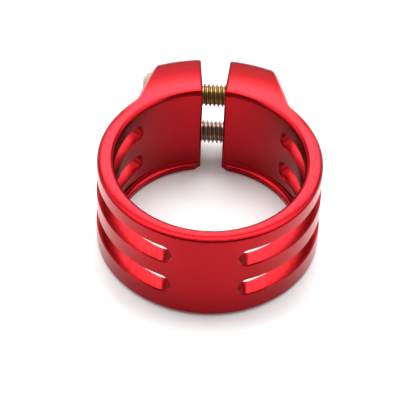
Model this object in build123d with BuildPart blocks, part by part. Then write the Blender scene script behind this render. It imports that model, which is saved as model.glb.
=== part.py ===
from build123d import *
import os
from math import asin, cos, degrees, radians, sin, sqrt, tan

# Two-bolt seat tube collar. Z is the bore axis and z = 0 is the shoulder of the lip, where the end of the
# seat tube stops. The slit and the ears are at +Y, the bolt heads at -X. Millimetres.

# Ring
bore_diameter = 31.8        # seat tube it closes on
wall = 2.85
height = 18.0
rim_chamfer = 0.45          # outer edge at the top
mouth_size = 0.85           # edge of the bore at the top, opened by two bevels
bottom_chamfer = 0.6        # outer edge at the bottom
lip_height = 1.9            # from the bottom rim up to the shoulder
lip_reach = 0.8             # how far the lip stands into the bore, and the depth of its hollow shoulder
lip_edge = 0.3              # broken edge under the lip

# Ears
ear_width = 20.3            # across the rear corners
ear_reach = 6.65            # rear faces behind the ring, turned about the bore axis
ear_crown_radius = 40.0     # tops fall away towards the rear
ear_rear_round = 2.5        # radius at the rear of the tops
ear_rear_slope = 50.0       # fall of the tops where they meet the rear faces, degrees
ear_flank_lean = 16.0       # flanks spread towards the ring, degrees
ear_corner_radius = 1.0
ear_blend_radius = 6.0      # hollow where a flank runs into the ring

# Slit between the ears
slit_width = 4.1            # at its throat
slit_throat_depth = 0.1     # throat behind the bore
slit_spread = 3.4           # lean of each face behind the throat, degrees
slit_flare = 45.0           # lean of the broken corners in front of the throat, degrees
slit_rear_break = 0.8       # broken corners at the rear

# Slots through the wall, two on each side
slot_height = 3.5
slot_pitch = 7.0
slot_front_angle = 22.8     # centre of the front end, from the front, degrees
slot_rear_angle = 126.8     # centre of the rear end, from the front, degrees
slot_edge = 0.2             # broken edges, inside and outside

# Bolts and washers
bolt_diameter = 4.0
bolt_length = 16.0          # under the head
bolt_pitch = 8.7            # between the two bolts
bolt_set_back = 1.2         # bolt axes behind the ring
bolt_tip_chamfer = 0.4
head_diameter = 7.0         # heads and washers
head_height = 4.0
head_chamfer = 0.9
hex_across_flats = 3.0
hex_depth = 2.2
washer_thickness = 0.5
washer_seat = 7.7           # floor of a head pocket from the middle of the slit

# Clearances, all radial
pocket_clearance = 0.25     # round a head
hole_clearance = 0.15       # round a shank
thread_clearance = 0.03     # round the crests in the tapped ear

# Places worked out from the sizes above
bore_radius = bore_diameter / 2
ring_radius = bore_radius + wall
bottom = -lip_height
top = bottom + height
nose_radius = bore_radius - lip_reach
ear_radius = ring_radius + ear_reach
corner_x = ear_width / 2
corner_y = sqrt(ear_radius**2 - corner_x**2)
crown_start = bore_radius + wall / 2
spare = ear_corner_radius   # by which cuts run past the material
throat_y = bore_radius + slit_throat_depth
slot_mid = (top - mouth_size) / 2
slot_levels = (slot_mid - slot_pitch / 2, slot_mid + slot_pitch / 2)
bolt_y = ring_radius + bolt_set_back
bolt_mid = bottom + height / 2
bolt_levels = {"upper": bolt_mid + bolt_pitch / 2, "lower": bolt_mid - bolt_pitch / 2}
bolt_radius = bolt_diameter / 2
head_radius = head_diameter / 2
head_face = -washer_seat - washer_thickness


def direction(angle):
    """Unit vector outwards from the bore axis, at an angle from +X."""
    return Vector(cos(radians(angle)), sin(radians(angle)), 0)


def flank_foot():
    """Point of the right flank's line that is nearest to the bore axis."""
    lean = radians(ear_flank_lean)
    run = corner_y * cos(lean) - corner_x * sin(lean)
    return corner_x + run * sin(lean), corner_y - run * cos(lean)


def stands_on(wire, edge):
    """Whether the middle of an edge is straight above a wire of the plan."""
    middle = edge.center()
    return wire.distance_to(Vector(middle.X, middle.Y, bottom)) < 0.001


def slit_half_width(y):
    """Half the width between the slit's faces, at a distance y behind the bore axis."""
    return slit_width / 2 + (y - throat_y) * tan(radians(slit_spread))


def slit_outline():
    """Right edge of the slit, from inside the bore to behind the ears."""
    front_y = nose_radius * cos(radians(slit_flare))
    rear_y = sqrt(ear_radius**2 - slit_half_width(ear_radius) ** 2)
    break_y = rear_y - slit_rear_break
    front_x = slit_half_width(throat_y) + (throat_y - front_y) * tan(radians(slit_flare))
    rear_x = slit_half_width(break_y) + ear_radius - break_y
    return [
        (front_x, front_y),
        (slit_half_width(throat_y), throat_y),
        (slit_half_width(break_y), break_y),
        (rear_x, ear_radius),
    ]


# The four slots as solids: an arc of wall each, with round ends bored towards the axis
with BuildPart() as slots:
    for level in slot_levels:
        for side in (-1, 1):
            ends = sorted(side * angle - 90 for angle in (slot_front_angle, slot_rear_angle))
            radial = direction(ends[0])
            with BuildSketch(Plane(origin=(0, 0, level), x_dir=radial, z_dir=direction(ends[0] - 90))):
                with Locations((bore_radius + wall / 2, 0)):
                    Rectangle(3 * wall, slot_height)
            revolve(axis=Axis.Z, revolution_arc=ends[1] - ends[0])
            for angle in ends:
                inside = direction(angle) * (bore_radius - wall) + Vector(0, 0, level)
                with BuildSketch(Plane(origin=inside, z_dir=direction(angle))):
                    Circle(slot_height / 2)
                extrude(amount=3 * wall)


with BuildPart() as collar:
    # Plan of the ring and of both ears as one block, not yet slit
    foot_x, foot_y = flank_foot()
    far_x = corner_x - (ear_radius - corner_y) * tan(radians(ear_flank_lean))
    with BuildSketch(Plane.XY.offset(bottom)) as plan:
        Circle(ear_radius)
        with BuildLine():
            Polyline(
                (foot_x, foot_y),
                (far_x, ear_radius),
                (-far_x, ear_radius),
                (-foot_x, foot_y),
                close=True,
            )
        make_face(mode=Mode.INTERSECT)
        Circle(ring_radius)
        corners = plan.vertices().sort_by(Axis.Y)
        fillet(corners[-2:], ear_corner_radius)
        fillet(plan.vertices().sort_by(Axis.Y)[-6:-4], ear_blend_radius)
    extrude(amount=height + spare)
    chamfer(collar.faces().sort_by(Axis.Z)[0].edges(), bottom_chamfer)

    # One turned cut: lip, bore, mouth, flat land, crowned tops of the ears and their rounded rear.
    # The mouth and the hollow shoulder are quarter rounds made of two bevels, which meet at 45 degrees
    hollow = lip_reach * cos(radians(45))
    opening = mouth_size * (1 - cos(radians(45)))
    round_start = ear_radius - ear_rear_round * sin(radians(ear_rear_slope))
    crown_turn = degrees(asin((round_start - crown_start) / (ear_crown_radius - ear_rear_round)))
    fall = spare * tan(radians(ear_rear_slope))
    with BuildSketch(Plane.XZ) as turning:
        with BuildLine():
            Polyline(
                (0, bottom),
                (nose_radius + lip_edge, bottom),
                (nose_radius, bottom + lip_edge),
                (nose_radius, -lip_reach),
                (nose_radius + hollow, -hollow),
                (bore_radius, 0),
                (bore_radius, top - mouth_size),
                (bore_radius + opening, top - opening),
                (bore_radius + mouth_size, top),
                (crown_start, top),
            )
            crown = CenterArc((crown_start, top - ear_crown_radius), ear_crown_radius, 90, -crown_turn)
            rear = JernArc(crown @ 1, crown % 1, ear_rear_round, crown_turn - ear_rear_slope)
            Polyline(
                rear @ 1,
                (ear_radius + spare, (rear @ 1).Y - fall),
                (ear_radius + spare, top + spare),
                (0, top + spare),
                (0, bottom),
            )
        make_face()
    revolve(axis=Axis.Z, mode=Mode.SUBTRACT)
    rim = plan.sketch.face().outer_wire()
    chamfer(collar.edges(Select.LAST).filter_by(lambda edge: stands_on(rim, edge)), rim_chamfer)

    # Slit that widens to the rear
    right_edge = slit_outline()
    left_edge = [(-x, y) for x, y in reversed(right_edge)]
    with BuildSketch(Plane.XY.offset(bottom)) as slit:
        with BuildLine():
            Polyline(*right_edge, *left_edge, close=True)
        make_face()
    extrude(amount=height, mode=Mode.SUBTRACT)

    # Slots, with their outlines broken
    add(slots.part, mode=Mode.SUBTRACT)
    chamfer(collar.edges(Select.LAST).filter_by(GeomType.LINE, reverse=True), slot_edge)

    # Bolt seats: pockets and clear holes in the left ear, tapped holes in the right
    centres = [(bolt_y, level) for level in bolt_levels.values()]
    with BuildSketch(Plane.YZ.offset(-washer_seat)) as pockets:
        with Locations(*centres):
            Circle(head_radius + pocket_clearance)
    extrude(amount=-ear_width, mode=Mode.SUBTRACT)
    with BuildSketch(Plane.YZ) as clear_holes:
        with Locations(*centres):
            Circle(bolt_radius + hole_clearance)
    extrude(amount=-ear_width, mode=Mode.SUBTRACT)
    with BuildSketch(Plane.YZ) as tapped_holes:
        with Locations(*centres):
            Circle(bolt_radius + thread_clearance)
    extrude(amount=ear_width, mode=Mode.SUBTRACT)

os.makedirs("parts", exist_ok=True)
collar.part.label = "collar"
export_step(collar.part, "parts/collar.step")


# A bolt and its washer at each level
for place, level in bolt_levels.items():
    with BuildPart() as bolt:
        with BuildSketch(Plane.YZ.offset(head_face)):
            with Locations((bolt_y, level)):
                Circle(head_radius)
        extrude(amount=-head_height)
        chamfer(bolt.edges().sort_by(Axis.X)[0], head_chamfer)
        with BuildSketch(Plane.YZ.offset(head_face)):
            with Locations((bolt_y, level)):
                Circle(bolt_radius)
        extrude(amount=bolt_length)
        chamfer(bolt.edges().sort_by(Axis.X)[-1], bolt_tip_chamfer)
        with BuildSketch(Plane.YZ.offset(head_face - head_height)):
            with Locations((bolt_y, level)):
                RegularPolygon(hex_across_flats / 2, 6, major_radius=False)
        extrude(amount=hex_depth, mode=Mode.SUBTRACT)
    bolt.part.label = f"bolt_{place}"
    export_step(bolt.part, f"parts/bolt_{place}.step")

    with BuildPart() as washer:
        with BuildSketch(Plane.YZ.offset(head_face)):
            with Locations((bolt_y, level)):
                Circle(head_radius)
                Circle(bolt_radius + hole_clearance, mode=Mode.SUBTRACT)
        extrude(amount=washer_thickness)
    washer.part.label = f"washer_{place}"
    export_step(washer.part, f"parts/washer_{place}.step")
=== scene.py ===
import math
import bpy
import numpy as np
from mathutils import Matrix, Vector


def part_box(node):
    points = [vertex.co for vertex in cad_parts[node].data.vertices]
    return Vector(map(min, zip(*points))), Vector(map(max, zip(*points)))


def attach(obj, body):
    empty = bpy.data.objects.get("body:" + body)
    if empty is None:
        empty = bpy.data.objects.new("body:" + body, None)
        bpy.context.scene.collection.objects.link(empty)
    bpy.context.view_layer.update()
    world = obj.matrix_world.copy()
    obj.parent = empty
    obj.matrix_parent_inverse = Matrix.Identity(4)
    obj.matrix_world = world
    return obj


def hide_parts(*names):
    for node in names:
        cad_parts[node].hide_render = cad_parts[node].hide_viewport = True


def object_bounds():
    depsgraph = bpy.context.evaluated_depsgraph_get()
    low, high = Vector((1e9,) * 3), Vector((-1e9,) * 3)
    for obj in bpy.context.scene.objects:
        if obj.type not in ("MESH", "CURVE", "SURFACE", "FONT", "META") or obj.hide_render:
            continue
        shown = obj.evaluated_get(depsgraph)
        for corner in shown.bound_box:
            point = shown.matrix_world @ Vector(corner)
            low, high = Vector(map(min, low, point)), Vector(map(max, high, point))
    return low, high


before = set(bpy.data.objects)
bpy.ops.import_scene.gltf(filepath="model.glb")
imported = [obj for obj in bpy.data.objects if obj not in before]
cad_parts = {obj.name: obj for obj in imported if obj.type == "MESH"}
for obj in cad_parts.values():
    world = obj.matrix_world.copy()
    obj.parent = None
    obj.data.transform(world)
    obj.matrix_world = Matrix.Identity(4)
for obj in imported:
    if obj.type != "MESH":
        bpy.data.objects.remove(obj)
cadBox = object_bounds()
mm = 0.001
noiseLow, noiseHigh = 0.3, 0.7    # most of a noise texture's values lie between these
print("frame loaded:", ", ".join(sorted(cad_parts)))


# helpers

def linear(hexColour):    # sRGB hex to the linear colour that the shaders take
    values = np.array([int(hexColour[i:i + 2], 16) for i in (1, 3, 5)]) / 255
    values = np.where(values <= 0.04045, values / 12.92, ((values + 0.055) / 1.055) ** 2.4)
    return (*values.tolist(), 1.0)


def addNode(tree, kind, inputs=None, **settings):    # one node: its settings, then inputs as values or links
    node = tree.nodes.new(kind)
    for key, value in settings.items():
        setattr(node, key, value)
    for key, value in (inputs or {}).items():
        if isinstance(value, bpy.types.NodeSocket):
            tree.links.new(value, node.inputs[key])
        else:
            node.inputs[key].default_value = value
    return node


def newMaterial(name):    # an empty node tree, and the surface socket to fill
    material = bpy.data.materials.new(name)
    material.use_nodes = True
    tree = material.node_tree
    tree.nodes.clear()
    output = tree.nodes.new("ShaderNodeOutputMaterial")
    return material, tree, output.inputs["Surface"]


def addPiece(name, mesh, body, node, material):    # a finished piece, in place of a CAD node
    piece = bpy.data.objects.new(name, mesh)
    bpy.context.scene.collection.objects.link(piece)
    mesh.materials.append(material)
    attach(piece, body)
    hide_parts(node)
    print("piece made:", name, len(mesh.polygons), "faces")


def unit(vectors):    # each vector over its length
    return vectors / np.maximum(np.linalg.norm(vectors, axis=-1, keepdims=True), 1e-12)


def ease(t):    # 0 to 1 with level ends: t^2 (3 - 2 t)
    return t * t * (3 - 2 * t)


# collar: the frame's own solid in finer facets, with its edges rounded in the finish

collar = dict(
    levels=2,                                           # times that each facet is cut in four
    weldMm=0.0001, shortMm=0.05,                        # places that are one, edges too short to bend
    soundCosine=0.7, creaseSine=0.2, bendCosine=0.9,    # stray normals, creases, curves that bend too far
    stepMm=0.001, alikeSteps=200,                       # step for the normals, and how alike they are
    top=16.1, boreRadius=15.9, outerRadius=18.75, noseRadius=15.1,    # mm, as in the CAD
    mouth=0.85, lipHollow=0.8, rimBevel=0.45, landEdge=16.087,        # mm, quarter rounds, bevels in the CAD
    twoBevels=0.92, oneBevel=0.7,                       # how near those come to the round's centre, in radii
    rimStart=17.3, rimEnd=18.35, rimRound=5.0,          # mm, the top falls a little towards its outer edge
    wallLow=14.6, wallRun=1.0,                          # mm, and the fall runs out down the wall
    earStart=10.0, earEnd=13.5,                         # mm behind the axis, where it fades
    slotEnd=22.8, slotRun=16.0, slotMargin=1.0,         # the slots' front ends, degrees, and mm
    slitTuck=0.2, slitThroat=16.0, slitRear=25.0,       # mm, the slit's throat is narrower than the CAD's
    slitHalf=2.05, slitRun=4.0)                         # mm, half the CAD's, and how far aside it fades


def readFacets(node):    # places, corner numbers and corner normals of a CAD node, equal places made one
    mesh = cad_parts[node].data
    places = np.empty(len(mesh.vertices) * 3)
    corners = np.empty(len(mesh.loops), dtype=np.int64)
    normals = np.empty(len(mesh.loops) * 3)
    mesh.vertices.foreach_get("co", places)
    mesh.loops.foreach_get("vertex_index", corners)
    mesh.corner_normals.foreach_get("vector", normals)
    step = collar["weldMm"] * mm
    grid, number = np.unique(np.round(places.reshape(-1, 3) / step), axis=0, return_inverse=True)
    facets = number.ravel()[corners].reshape(-1, 3)
    whole = (facets != np.roll(facets, -1, 1)).all(1)    # leaves out slivers that the weld closes
    points, facets, normals = grid * step, facets[whole], normals.reshape(-1, 3, 3)[whole]
    a, b, c = points[facets].transpose(1, 0, 2)
    across = unit(np.cross(b - a, c - a))[:, None]
    sound = np.abs((normals * across).sum(-1, keepdims=True)) > collar["soundCosine"]
    others = unit((normals * sound).sum(1, keepdims=True))
    return points, facets, np.where(sound, normals, others)    # a stray corner takes its facet's others


def halve(points, facets, normals):
    # each facet becomes four. An edge's middle is the middle of the cubic curve through its ends:
    # mean of the ends + length / 8 * (first tangent - last tangent). On a crease the tangent runs along
    # both facets' tangent planes, elsewhere it is the edge laid into the one tangent plane
    begin, end = facets, np.roll(facets, -1, 1)
    beginNormal, endNormal = normals, np.roll(normals, -1, 1)
    turned = (begin > end)[..., None]
    pairs = np.sort(np.stack([begin, end], -1), -1).reshape(-1, 2)
    edges, which = np.unique(pairs, axis=0, return_inverse=True)
    which = which.ravel()
    order = np.argsort(which, kind="stable")
    last = np.cumsum(np.bincount(which)) - 1
    first = np.concatenate([[0], last[:-1] + 1])
    sides = order[first], order[last]    # the facets on both sides of each edge
    chord = points[edges[:, 1]] - points[edges[:, 0]]
    along = unit(chord)

    def tangent(atEnd):
        one, other = (atEnd.reshape(-1, 3)[side] for side in sides)
        crease = np.cross(one, other)
        crease = crease * np.sign((crease * along).sum(1, keepdims=True))
        across = unit(one + other)
        laid = along - across * (along * across).sum(1, keepdims=True)
        sharp = np.linalg.norm(crease, axis=1, keepdims=True) > collar["creaseSine"]
        line = unit(np.where(sharp, crease, laid))
        return np.where((line * along).sum(1, keepdims=True) > collar["bendCosine"], line, along)

    bend = (tangent(np.where(turned, endNormal, beginNormal))
            - tangent(np.where(turned, beginNormal, endNormal)))
    middles = points[edges].mean(1) + np.linalg.norm(chord, axis=1, keepdims=True) / 8 * bend
    run = points[end] - points[begin]
    both = beginNormal + endNormal
    lean = 2 * (run * both).sum(-1, keepdims=True) / np.maximum((run * run).sum(-1, keepdims=True), 1e-18)
    lean[np.linalg.norm(run, axis=-1) < collar["shortMm"] * mm] = 0
    halfNormals = unit(both - lean * run)
    half = len(points) + which.reshape(-1, 3)

    def quarter(corner, mid):    # three corner facets, then the middle one
        parts = [np.stack([corner[:, k], mid[:, k], mid[:, k - 1]], 1) for k in range(3)]
        return np.concatenate(parts + [mid])

    return np.concatenate([points, middles]), quarter(facets, half), quarter(normals, halfNormals)


def softForm(points):
    # the finished form of a point on the facets, in its radius r, height z and angle from the front.
    # mouth, lip and outer edge go out to their quarter circles: centre + size * (p - centre) / |p - centre|.
    # the top falls by (r - rimStart)^2 / (2 rimRound), and the fall runs out down the wall.
    # front ends of the slots run straight back, not towards the axis: the end at angle e turns to
    # asin(outerRadius / r * sin e), and the turn fades to nothing along the slot.
    # the slit's faces turn in by slitTuck / r at the throat, which fades to the rear and aside
    x, y, z = np.moveaxis(points / mm, -1, 0)
    flat = np.maximum(np.hypot(x, y), 1e-9)
    r = flat
    mouth, hollow, bevel = collar["mouth"], collar["lipHollow"], collar["rimBevel"]
    rounds = ((collar["boreRadius"] + mouth, collar["top"] - mouth, mouth, collar["twoBevels"], math.inf),
              (collar["noseRadius"], 0, hollow, collar["twoBevels"], math.inf),
              (collar["outerRadius"] - bevel, collar["landEdge"] - bevel, bevel, collar["oneBevel"],
               collar["earEnd"]))
    for centreR, centreZ, size, least, rear in rounds:
        away = np.maximum(np.hypot(r - centreR, z - centreZ), 1e-9)
        grow = np.where((away > least * size) & (away < size) & (y < rear), size / away, 1)
        r, z = centreR + (r - centreR) * grow, centreZ + (z - centreZ) * grow

    outwards = np.clip(r - collar["rimStart"], 0, collar["rimEnd"] - collar["rimStart"])
    beforeEars = np.clip((collar["earEnd"] - y) / (collar["earEnd"] - collar["earStart"]), 0, 1)
    upWall = np.clip((z - collar["wallLow"]) / collar["wallRun"], 0, 1)
    z = z - outwards ** 2 / (2 * collar["rimRound"]) * beforeEars * upWall

    end, run = math.radians(collar["slotEnd"]), math.radians(collar["slotRun"])
    angle = np.arctan2(np.abs(x), -y)
    straight = np.arcsin(collar["outerRadius"] / np.maximum(r, collar["noseRadius"]) * math.sin(end)) - end
    along = np.clip(np.abs(angle - end) / run, 0, 1)
    under = np.clip((collar["top"] - mouth - z) / collar["slotMargin"], 0, 1)
    above = np.clip(z / collar["slotMargin"], 0, 1)
    turn = straight * (1 - ease(along)) * under * above

    towardsRear = np.clip((collar["slitRear"] - y) / (collar["slitRear"] - collar["slitThroat"]), 0, 1)
    aside = np.clip((np.abs(x) - collar["slitHalf"]) / collar["slitRun"], 0, 1)
    turn = turn + collar["slitTuck"] / flat * towardsRear * (1 - ease(aside)) * (y > 0)
    turn = turn * np.sign(x)
    spread = r / flat
    return np.stack([(x * np.cos(turn) - y * np.sin(turn)) * spread,
                     (x * np.sin(turn) + y * np.cos(turn)) * spread, z], -1) * mm


def finishFacets(points, facets, normals):    # normals follow from how short steps along each facet are moved
    step = collar["stepMm"] * mm
    here = points[facets]
    moved = softForm(here)

    def tangentTo(corner):
        tangent = corner - here
        return unit(tangent - normals * (tangent * normals).sum(-1, keepdims=True))

    one, other = (tangentTo(np.roll(here, shift, 1)) for shift in (-1, 1))
    across = np.cross(*((softForm(here + tangent * step) - moved) / step for tangent in (one, other)))
    fold = np.sign((np.cross(one, other) * normals).sum(-1, keepdims=True))    # slivers may be folded over
    size = np.linalg.norm(here - np.roll(here, 1, 1), axis=-1, keepdims=True)
    across = across * fold * size * np.roll(size, -1, 1)    # and count for little
    rounded = np.round(normals.reshape(-1, 3) * collar["alikeSteps"])
    alike = np.concatenate([facets.reshape(-1, 1), rounded], 1)    # corners of one smooth surface at a point
    group = np.unique(alike, axis=0, return_inverse=True)[1].ravel()
    total = np.stack([np.bincount(group, across.reshape(-1, 3)[:, k]) for k in range(3)], -1)
    inside = np.clip(softForm(points), cadBox[0], cadBox[1])    # finer curves pass the facets by a few um
    return inside, facets, unit(total)[group].reshape(-1, 3, 3)


def facetMesh(name, points, facets, normals):    # a smooth mesh that keeps the given corner normals
    mesh = bpy.data.meshes.new(name)
    mesh.from_pydata(points.tolist(), [], facets.tolist())
    mesh.shade_smooth()
    mesh.normals_split_custom_set(normals.reshape(-1, 3).tolist())
    return mesh


def makeRedAnodised():
    # aluminium, turned and milled, bead-blasted and dyed red in its oxide: a satin metal, deep red, that
    # greys at a glance along it. The slots keep their cutter marks and are duller, and the slit's top edges
    # are softly broken. The blast grain, really 0.05 mm, and the marks, really 0.1 mm, are drawn coarser so
    # that they show
    look = dict(red="#9A141B", roughness=0.18, roughSpread=0.04, coat=0.02, coatRoughness=0.18,
                grainMm=0.22, grainDepthMm=0.003, grainStrength=0.35,    # blast grain
                grainRough=0.6, detail=2.0,                              # of the noise
                shadeMm=7.0, shadeSpread=0.05,                           # slow drift of the dye
                cutRoughness=0.37, cutSpread=0.07,
                markMm=0.3, markLongMm=4.0,                              # cutter marks
                slotTop=13.0, slotMiddle=17.325, slotReach=1.35,         # mm, the slots' height and radius
                slitHalf=1.85, slitThroat=16.0, slitSpread=4.67,         # mm, and degrees
                edgeSoft=0.55, edgeRound=0.9,                            # mm, width and radius of its edges
                edgeFrom=13.0, edgeFull=14.0, edgeUp=0.9)                # mm back, and least upward normal
    material, tree, surface = newMaterial("redAnodisedAluminium")
    place = addNode(tree, "ShaderNodeTexCoord").outputs["Object"]
    split = addNode(tree, "ShaderNodeSeparateXYZ", {"Vector": place})
    x, y, z = split.outputs
    flat = addNode(tree, "ShaderNodeVectorMath", {0: place, 1: (1, 1, 0)}, operation="MULTIPLY")
    radius = addNode(tree, "ShaderNodeVectorMath", {0: flat.outputs["Vector"]}, operation="LENGTH")

    lean = math.tan(math.radians(look["slitSpread"]))    # inwards: |x| less half the slit's width at that y
    aside = addNode(tree, "ShaderNodeMath", {0: x}, operation="ABSOLUTE")
    slitWall = addNode(tree, "ShaderNodeMath", {
        0: y, 1: lean, 2: (look["slitHalf"] - look["slitThroat"] * lean) * mm}, operation="MULTIPLY_ADD")
    inwards = addNode(tree, "ShaderNodeMath", {
        0: aside.outputs["Value"], 1: slitWall.outputs["Value"]}, operation="SUBTRACT")
    edge = addNode(tree, "ShaderNodeMapRange", {
        "Value": inwards.outputs["Value"], "From Max": look["edgeSoft"] * mm,
        "To Min": look["edgeSoft"] * mm, "To Max": 0.0})
    behind = addNode(tree, "ShaderNodeMapRange", {
        "Value": y, "From Min": look["edgeFrom"] * mm, "From Max": look["edgeFull"] * mm})
    geometry = addNode(tree, "ShaderNodeNewGeometry")
    facing = addNode(tree, "ShaderNodeSeparateXYZ", {"Vector": geometry.outputs["Normal"]})
    upwards = addNode(tree, "ShaderNodeMath", {
        0: facing.outputs["Z"], 1: look["edgeUp"]}, operation="GREATER_THAN")
    onEars = addNode(tree, "ShaderNodeMath", {
        0: behind.outputs["Result"], 1: upwards.outputs["Value"]}, operation="MULTIPLY")
    squared = addNode(tree, "ShaderNodeMath", {0: edge.outputs["Result"], 1: 2.0}, operation="POWER")
    soft = addNode(tree, "ShaderNodeBump", {
        "Height": squared.outputs["Value"], "Strength": onEars.outputs["Value"],
        "Distance": 1 / (2 * look["edgeRound"] * mm)}, invert=True)

    below = addNode(tree, "ShaderNodeMath", {0: z, 1: look["slotTop"] * mm}, operation="LESS_THAN")
    inWall = addNode(tree, "ShaderNodeMath", {
        0: radius.outputs["Value"], 1: look["slotMiddle"] * mm, 2: look["slotReach"] * mm},
        operation="COMPARE")
    inSlot = addNode(tree, "ShaderNodeMath", {
        0: below.outputs["Value"], 1: inWall.outputs["Value"]}, operation="MULTIPLY")
    stretch = addNode(tree, "ShaderNodeMapping", {"Vector": place, "Scale": (
        1 / (look["markMm"] * mm), 1 / (look["markLongMm"] * mm), 1 / (look["markLongMm"] * mm))})
    marks = addNode(tree, "ShaderNodeTexNoise", {
        "Vector": stretch.outputs["Vector"], "Scale": 1.0, "Detail": look["detail"]})
    dull = addNode(tree, "ShaderNodeMapRange", {
        "Value": marks.outputs["Fac"], "From Min": noiseLow, "From Max": noiseHigh,
        "To Min": look["cutRoughness"] - look["cutSpread"],
        "To Max": look["cutRoughness"] + look["cutSpread"]})

    grain = addNode(tree, "ShaderNodeTexNoise", {
        "Vector": place, "Scale": 1 / (look["grainMm"] * mm), "Detail": look["detail"],
        "Roughness": look["grainRough"]})
    drift = addNode(tree, "ShaderNodeTexNoise", {
        "Vector": place, "Scale": 1 / (look["shadeMm"] * mm), "Detail": look["detail"]})
    shade = addNode(tree, "ShaderNodeMapRange", {
        "Value": drift.outputs["Fac"], "From Min": noiseLow, "From Max": noiseHigh,
        "To Min": 1 - look["shadeSpread"], "To Max": 1 + look["shadeSpread"]})
    dye = addNode(tree, "ShaderNodeHueSaturation", {
        "Color": linear(look["red"]), "Value": shade.outputs["Result"]})
    satin = addNode(tree, "ShaderNodeMapRange", {
        "Value": grain.outputs["Fac"], "To Min": look["roughness"] - look["roughSpread"],
        "To Max": look["roughness"] + look["roughSpread"]})
    gloss = addNode(tree, "ShaderNodeMix", {
        "Factor": inSlot.outputs["Value"], "A": satin.outputs["Result"], "B": dull.outputs["Result"]})
    bump = addNode(tree, "ShaderNodeBump", {
        "Height": grain.outputs["Fac"], "Strength": look["grainStrength"],
        "Distance": look["grainDepthMm"] * mm, "Normal": soft.outputs["Normal"]})
    shader = addNode(tree, "ShaderNodeBsdfPrincipled", {
        "Base Color": dye.outputs["Color"], "Metallic": 1.0, "Roughness": gloss.outputs["Result"],
        "Normal": bump.outputs["Normal"], "Coat Normal": soft.outputs["Normal"],
        "Coat Weight": look["coat"], "Coat Roughness": look["coatRoughness"]})
    tree.links.new(shader.outputs["BSDF"], surface)
    return material


facets = readFacets("collar")
for level in range(collar["levels"]):
    facets = halve(*facets)
facets = finishFacets(*facets)
addPiece("splitCollar", facetMesh("splitCollar", *facets), "collar", "collar", makeRedAnodised())


# washers: the frame's own solids

def makeBrightSteel():
    # plain steel, stamped and barrel-polished: grey and fairly bright, with a fine uneven gloss
    look = dict(grey="#B4B3B0", roughness=0.28, roughSpread=0.08, scratchMm=0.15, detail=3.0)
    material, tree, surface = newMaterial("barrelPolishedSteel")
    place = addNode(tree, "ShaderNodeTexCoord").outputs["Object"]
    scratch = addNode(tree, "ShaderNodeTexNoise", {
        "Vector": place, "Scale": 1 / (look["scratchMm"] * mm), "Detail": look["detail"]})
    gloss = addNode(tree, "ShaderNodeMapRange", {
        "Value": scratch.outputs["Fac"], "To Min": look["roughness"] - look["roughSpread"],
        "To Max": look["roughness"] + look["roughSpread"]})
    shader = addNode(tree, "ShaderNodeBsdfPrincipled", {
        "Base Color": linear(look["grey"]), "Metallic": 1.0, "Roughness": gloss.outputs["Result"]})
    tree.links.new(shader.outputs["BSDF"], surface)
    return material


brightSteel = makeBrightSteel()
for level in ("upper", "lower"):
    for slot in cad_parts[f"washer_{level}"].material_slots:
        slot.material = brightSteel
print("washers dressed")


# bolts: cap screws with their thread cut

bolt = dict(
    pitch=0.7 * mm, crest=2.0 * mm, plainNeck=0.9 * mm, neckBelow=0.04 * mm,    # neck below the crests
    crestFlat=1 / 8, rootFlat=1 / 4, threadDeep=0.6134, flankSoft=0.25,         # in pitches, and soft corners
    headLength=4.0 * mm, headChamfer=0.9 * mm, hexFlats=3.0 * mm, hexDepth=2.2 * mm, hexMouth=0.15 * mm,
    underBevel=0.25 * mm, underRun=0.245 * mm, underGap=0.001 * mm, underSteps=5,
    tipChamfer=0.45 * mm,
    nick=0.02 * mm, floorNick=0.03 * mm, mouthNick=0.04 * mm,                   # broken edges
    edge=0.1 * mm, edgeEnd=0.12 * mm,
    floorEdge=0.97, tipEdge=0.98, halfWay=0.5,                                  # rings on the flat ends
    aroundSteps=96, perPitch=16)


def threadDepth(phase):
    # metric thread: flat crest an eighth of the pitch wide, 30 degree flanks, root a quarter wide
    away = np.abs((phase + 0.5) % 1 - 0.5)    # 0 on the crest's middle, 0.5 on the root's
    crestHalf, rootHalf = bolt["crestFlat"] / 2, bolt["rootFlat"] / 2
    flank = np.clip((away - crestHalf) / (0.5 - crestHalf - rootHalf), 0, 1)
    flank = ease(flank) * bolt["flankSoft"] + flank * (1 - bolt["flankSoft"])
    return flank * bolt["threadDeep"] * bolt["pitch"]


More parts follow.
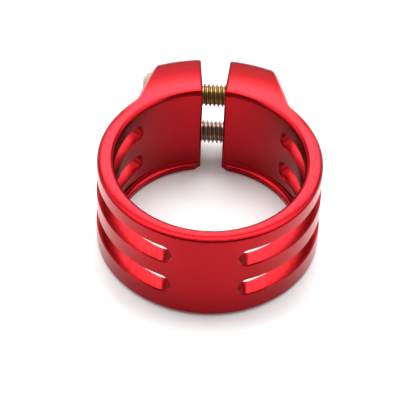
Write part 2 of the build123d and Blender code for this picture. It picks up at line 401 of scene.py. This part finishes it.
def boltRings(low, high):
    # a ring of points at each station along the profile: socket floor, hex walls, head, bevel under it,
    # thread, tip. Radius is a function of station and angle, and the thread's falls with its phase,
    # x / pitch - angle / turn
    turn = np.arange(bolt["aroundSteps"]) / bolt["aroundSteps"]
    angle = 2 * np.pi * turn
    ones = np.ones_like(angle)
    centre = (low + high) / 2
    headRadius = (high[1] - low[1]) / 2
    head, under, tip = low[0], low[0] + bolt["headLength"], high[0]
    floor = head + bolt["hexDepth"]
    hexRadius = bolt["hexFlats"] / 2 / np.cos((angle + np.pi / 6) % (np.pi / 3) - np.pi / 6)
    mouthRadius = np.maximum(hexRadius, bolt["hexFlats"] / 2 + bolt["hexMouth"])
    chamfer, edge, nick = bolt["headChamfer"], bolt["edge"], bolt["nick"]
    stations = [(floor, bolt["halfWay"] * hexRadius), (floor, bolt["floorEdge"] * hexRadius),
                (floor - bolt["floorNick"], hexRadius), (head + bolt["hexMouth"], hexRadius),
                (head + nick, mouthRadius), (head, mouthRadius + bolt["mouthNick"])]
    stations += [(head, (headRadius - chamfer - bolt["edgeEnd"]) * ones),
                 (head + nick, (headRadius - chamfer + nick) * ones),
                 (head + edge, (headRadius - chamfer + edge) * ones),
                 (head + chamfer - edge, (headRadius - edge) * ones),
                 (head + chamfer, (headRadius - nick) * ones),
                 (head + chamfer + bolt["edgeEnd"], headRadius * ones),
                 (under - edge, headRadius * ones), (under, (headRadius - edge) * ones)]
    core = bolt["crest"] - bolt["neckBelow"]
    reach = np.sin(np.linspace(0, 1, bolt["underSteps"]) * np.pi / 2)
    stations += [(under + bolt["underRun"] * s + bolt["underGap"],
                  (core + bolt["underBevel"] * (1 - s)) * ones) for s in reach]
    start = under + bolt["plainNeck"]
    x = np.arange(start, tip, bolt["pitch"] / bolt["perPitch"])
    phase = (x[:, None] - start) / bolt["pitch"] - turn[None, :]
    runIn = np.clip((x - start) / bolt["pitch"], 0, 1)[:, None]    # the thread fades in over its first turn
    radius = bolt["crest"] - bolt["neckBelow"] * (1 - runIn) - threadDepth(phase) * runIn
    limit = bolt["crest"] - np.clip(x - (tip - bolt["tipChamfer"]), 0, None)[:, None]    # chamfered tip
    radius = np.minimum(radius, limit)
    stations += list(zip(x, radius))
    stations += [(tip, radius[-1] * bolt["tipEdge"]), (tip, radius[-1] * bolt["halfWay"])]
    along = np.array([station for station, _ in stations])[:, None] * ones
    radius = np.array([ring for _, ring in stations])
    rings = np.stack([along, centre[1] + radius * np.cos(angle), centre[2] + radius * np.sin(angle)], -1)
    poles = np.array([(floor, centre[1], centre[2]), (tip, centre[1], centre[2])])
    return rings, poles


def ringMesh(name, rings, poles):    # quads between the rings, and a fan of triangles to each pole
    rows, count, _ = rings.shape
    here, after = np.arange(count), (np.arange(count) + 1) % count
    low = (np.arange(rows - 1) * count)[:, None]
    quads = np.stack([low + here, low + after, low + count + after, low + count + here], -1).reshape(-1, 4)
    last, firstPole = (rows - 1) * count, rows * count
    fans = np.concatenate([np.stack([np.full(count, firstPole), after, here], -1),
                           np.stack([np.full(count, firstPole + 1), last + here, last + after], -1)])
    places = np.concatenate([rings.reshape(-1, 3), poles])
    mesh = bpy.data.meshes.new(name)
    mesh.from_pydata(places.tolist(), [], quads.tolist() + fans.tolist())
    mesh.shade_smooth()
    return mesh


def makeYellowZinc():
    # steel, zinc plated and passivated yellow: a soft brassy metal. It is greyer on the lower screw, a
    # painted shade and reflection, and dark on the thread's flanks, a painted shade
    look = dict(brass="#AE9763", olive="#958052", grey="#B9A69B", cream="#AFA48F",
                roughness=0.32, roughSpread=0.06, cloudMm=1.6, detail=3.0,
                greyFrom=9.0, greyFull=5.0, greyShare=0.85,              # mm, painted shade and reflection: greyer down towards the lower screw
                flankShade=0.25, flankRadius=1.77, flankHalf=0.17,       # share of light left on the flanks by the painted shade, and mm
                headEnd=-8.2, axisBack=19.95, axisMid=7.1, axisApart=4.35)    # mm
    material, tree, surface = newMaterial("yellowZincPlatedSteel")
    place = addNode(tree, "ShaderNodeTexCoord").outputs["Object"]
    split = addNode(tree, "ShaderNodeSeparateXYZ", {"Vector": place})
    x, y, z = split.outputs
    cloud = addNode(tree, "ShaderNodeTexNoise", {
        "Vector": place, "Scale": 1 / (look["cloudMm"] * mm), "Detail": look["detail"]})
    yellow = addNode(tree, "ShaderNodeMix", {
        "Factor": cloud.outputs["Fac"], "A": linear(look["brass"]), "B": linear(look["olive"])},
        data_type="RGBA")
    # painted shade and reflection: the lower screw, in the shade of the upper one and the ears, is drawn
    # greyer than the upper
    lower = addNode(tree, "ShaderNodeMapRange", {
        "Value": z, "From Min": look["greyFull"] * mm, "From Max": look["greyFrom"] * mm,
        "To Min": look["greyShare"], "To Max": 0.0})
    plateAndShadeGrey = addNode(tree, "ShaderNodeMix", {
        "Factor": lower.outputs["Result"], "A": yellow.outputs["Result"], "B": linear(look["grey"])},
        data_type="RGBA")

    # painted shade: the thread's flanks, mid-way between crest and root, are darkened as if they reflected
    # the dark slit beside them
    fromMid = addNode(tree, "ShaderNodeMath", {0: z, 1: look["axisMid"] * mm}, operation="SUBTRACT")
    either = addNode(tree, "ShaderNodeMath", {0: fromMid.outputs["Value"]}, operation="ABSOLUTE")
    up = addNode(tree, "ShaderNodeMath", {
        0: either.outputs["Value"], 1: look["axisApart"] * mm}, operation="SUBTRACT")
    back = addNode(tree, "ShaderNodeMath", {0: y, 1: look["axisBack"] * mm}, operation="SUBTRACT")
    spoke = addNode(tree, "ShaderNodeCombineXYZ", {"X": up.outputs["Value"], "Y": back.outputs["Value"]})
    radius = addNode(tree, "ShaderNodeVectorMath", {0: spoke.outputs["Vector"]}, operation="LENGTH")
    fromFlank = addNode(tree, "ShaderNodeMath", {
        0: radius.outputs["Value"], 1: look["flankRadius"] * mm}, operation="SUBTRACT")
    offFlank = addNode(tree, "ShaderNodeMath", {0: fromFlank.outputs["Value"]}, operation="ABSOLUTE")
    flankPaintedShade = addNode(tree, "ShaderNodeMapRange", {
        "Value": offFlank.outputs["Value"], "From Max": look["flankHalf"] * mm,
        "To Min": look["flankShade"], "To Max": 1.0})
    thread = addNode(tree, "ShaderNodeHueSaturation", {
        "Color": plateAndShadeGrey.outputs["Result"], "Value": flankPaintedShade.outputs["Result"]})
    onHead = addNode(tree, "ShaderNodeMath", {0: x, 1: look["headEnd"] * mm}, operation="LESS_THAN")
    colour = addNode(tree, "ShaderNodeMix", {
        "Factor": onHead.outputs["Value"], "A": thread.outputs["Color"], "B": linear(look["cream"])},
        data_type="RGBA")
    gloss = addNode(tree, "ShaderNodeMapRange", {
        "Value": cloud.outputs["Fac"], "To Min": look["roughness"] - look["roughSpread"],
        "To Max": look["roughness"] + look["roughSpread"]})
    shader = addNode(tree, "ShaderNodeBsdfPrincipled", {
        "Base Color": colour.outputs["Result"], "Metallic": 1.0, "Roughness": gloss.outputs["Result"]})
    tree.links.new(shader.outputs["BSDF"], surface)
    return material


yellowZinc = makeYellowZinc()
for level in ("upper", "lower"):
    low, high = (np.array(corner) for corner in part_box(f"bolt_{level}"))
    mesh = ringMesh(f"capScrew_{level}", *boltRings(low, high))
    addPiece(f"capScrew_{level}", mesh, f"bolt_{level}", f"bolt_{level}", yellowZinc)


# floor, light and camera

studio = dict(
    floorSize=6.0, floorWhite="#F4F4F4", floorRoughness=0.9, floorShine=0.2,
    worldFront=0.4, worldRear=0.95, worldTurn=(-0.35, 0.25),    # dim on the camera's side, bright behind
    distance=0.9,
    panels=dict(    # azimuth from the rear to the right, elevation, width, height in degrees, radiance
        rear=(0, 45.5, 34, 15, 8.8), lowRear=(0, 31, 50, 12, 0.75), overhead=(0, 76, 60, 28, 4.9),
        left=(-90, 40, 50, 24, 2.4), right=(90, 40, 50, 24, 2.2)))


def makeFloor():
    # matt white card under the part, wide enough to fill every view
    material, tree, surface = newMaterial("mattWhiteCard")
    shader = addNode(tree, "ShaderNodeBsdfPrincipled", {
        "Base Color": linear(studio["floorWhite"]), "Roughness": studio["floorRoughness"],
        "Specular IOR Level": studio["floorShine"]})
    tree.links.new(shader.outputs["BSDF"], surface)
    half, level = studio["floorSize"] / 2, cadBox[0].z
    corners = [(-half, -half, level), (half, -half, level), (half, half, level), (-half, half, level)]
    mesh = bpy.data.meshes.new("floor")
    mesh.from_pydata(corners, [], [(0, 1, 2, 3)])
    mesh.materials.append(material)
    floor = bpy.data.objects.new("floor", mesh)
    bpy.context.scene.collection.objects.link(floor)


def addPanel(name, azimuth, elevation, width, height, radiance):    # a soft light panel that faces the part
    a, e = math.radians(azimuth), math.radians(elevation)
    towards = Vector((math.sin(a) * math.cos(e), math.cos(a) * math.cos(e), math.sin(e)))
    across, up = (2 * studio["distance"] * math.tan(math.radians(angle / 2)) for angle in (width, height))
    lamp = bpy.data.lights.new(name, "AREA")
    lamp.shape = "RECTANGLE"
    lamp.size, lamp.size_y = across, up
    lamp.energy = radiance * math.pi * across * up
    panel = bpy.data.objects.new(name, lamp)
    panel.location = towards * studio["distance"]
    panel.rotation_mode = "QUATERNION"
    panel.rotation_quaternion = (-towards).to_track_quat("-Z", "Y")
    bpy.context.scene.collection.objects.link(panel)


def makeWorld():    # a soft white surround, dim in front and bright behind
    world = bpy.data.worlds.new("softStudio")
    world.use_nodes = True
    tree = world.node_tree
    background = tree.nodes["Background"].inputs
    place = addNode(tree, "ShaderNodeTexCoord").outputs["Generated"]
    away = addNode(tree, "ShaderNodeSeparateXYZ", {"Vector": place})
    strength = addNode(tree, "ShaderNodeMapRange", {
        "Value": away.outputs["Y"], "From Min": studio["worldTurn"][0], "From Max": studio["worldTurn"][1],
        "To Min": studio["worldFront"], "To Max": studio["worldRear"]})
    background["Color"].default_value = linear("#FFFFFF")
    tree.links.new(strength.outputs["Result"], background["Strength"])
    bpy.context.scene.world = world


def makeCamera():
    # a long lens, fitted to the photograph's edges: elevation, slight turn and roll, and a point on its axis
    view = dict(elevation=46.052, turn=0.8, roll=2.176, distance=516.3 * mm,
                aim=(-1.485 * mm, 4.040 * mm, 2.014 * mm), lens=273.9, clip=(0.01, 20))
    e, roll = math.radians(view["elevation"]), math.radians(view["roll"])
    forward = Vector((0, math.cos(e), -math.sin(e)))
    right = Vector((1, 0, 0))
    up = Vector((0, math.sin(e), math.cos(e)))
    imageRight = right * math.cos(roll) + up * math.sin(roll)
    imageUp = up * math.cos(roll) - right * math.sin(roll)
    turn = Matrix.Rotation(math.radians(view["turn"]), 3, "Z")
    axes = turn @ Matrix((imageRight, imageUp, -forward)).transposed()
    place = Vector(view["aim"]) - turn @ forward * view["distance"]
    camera = bpy.data.objects.new("camera", bpy.data.cameras.new("camera"))
    camera.data.lens = view["lens"]
    camera.data.clip_start, camera.data.clip_end = view["clip"]
    camera.matrix_world = Matrix.Translation(place) @ axes.to_4x4()
    bpy.context.scene.collection.objects.link(camera)
    bpy.context.scene.camera = camera


makeFloor()
makeWorld()
for name, panel in studio["panels"].items():
    addPanel(name, *panel)
makeCamera()
bpy.context.scene.view_settings.view_transform = "Standard"
print("floor, light and camera set")
